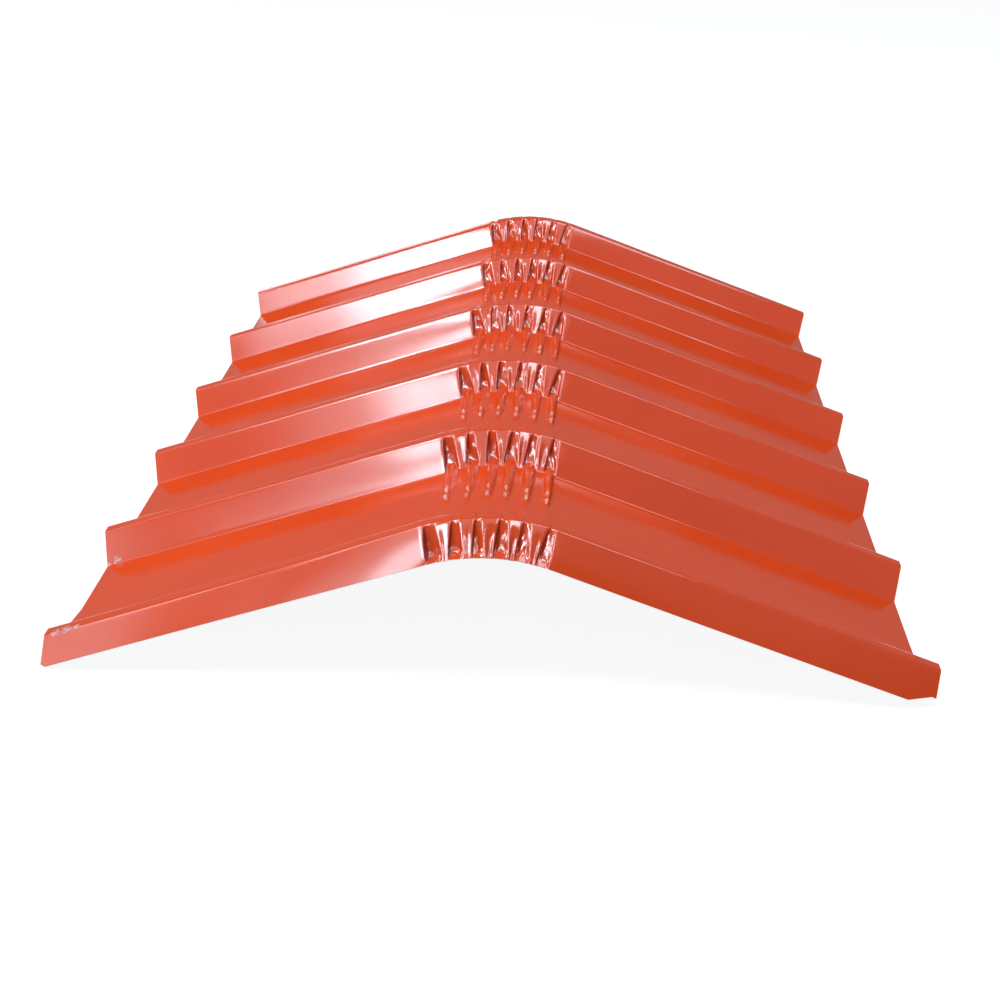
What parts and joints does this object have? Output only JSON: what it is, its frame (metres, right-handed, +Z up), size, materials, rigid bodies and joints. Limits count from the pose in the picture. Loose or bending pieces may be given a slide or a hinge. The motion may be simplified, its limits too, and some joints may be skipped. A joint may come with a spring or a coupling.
{
  "type": "roof ridge cap",
  "caption": "Bent trapezoidal steel ridge cap in orange-red prepaint, its ribs crimped with a row of pleats across the bend.",
  "frame": {"origin": "middle of the footprint, on the level of the wing tips that it stands on", "axes": "+Y along the ridge, away from the viewer of the picture; +X across the ridge, to the viewer's right; +Z up"},
  "size_m": [0.7184, 1.0628, 0.1368],
  "materials": {
    "prepaint": "gloss coil coating"
  },
  "bodies": {
    "root": {"ridge_cap": "prepaint"}
  },
  "joints": []
}
